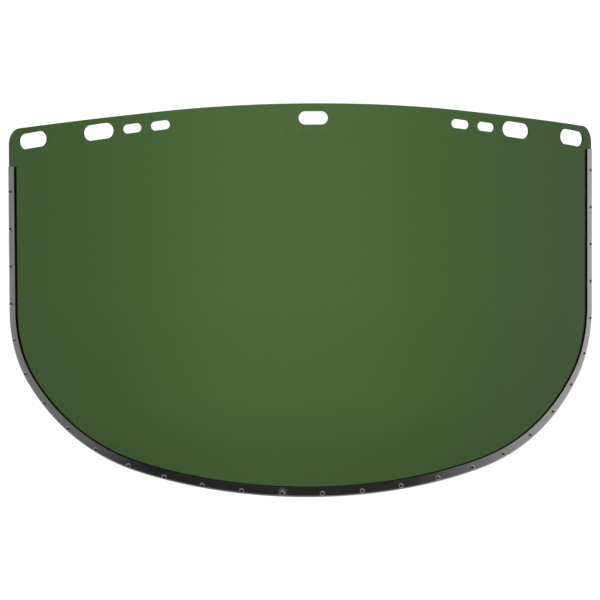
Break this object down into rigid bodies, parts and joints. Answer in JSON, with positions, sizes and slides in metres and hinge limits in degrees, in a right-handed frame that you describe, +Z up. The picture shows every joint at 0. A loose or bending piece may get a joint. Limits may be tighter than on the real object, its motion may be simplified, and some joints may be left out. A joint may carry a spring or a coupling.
{
  "type": "face shield window",
  "caption": "Green tinted face shield window, bent in an arc, with mounting slots along its top edge and a metal channel folded over its sides and chin edge.",
  "frame": {"origin": "centre of the middle slot, at half the sheet's thickness", "axes": "+X to the viewer's right as the front is looked at, +Y from the front towards the wearer, +Z up"},
  "size_m": [0.3538, 0.0779, 0.2293],
  "materials": {
    "green_tint": "clear green tinted plastic sheet, smooth and glossy on both faces",
    "bare_aluminium": "bare rolled aluminium, satin, with a faint lengthwise grain and small round stake marks"
  },
  "bodies": {
    "root": {"window": "green_tint", "edge_binding": "bare_aluminium"}
  },
  "joints": []
}
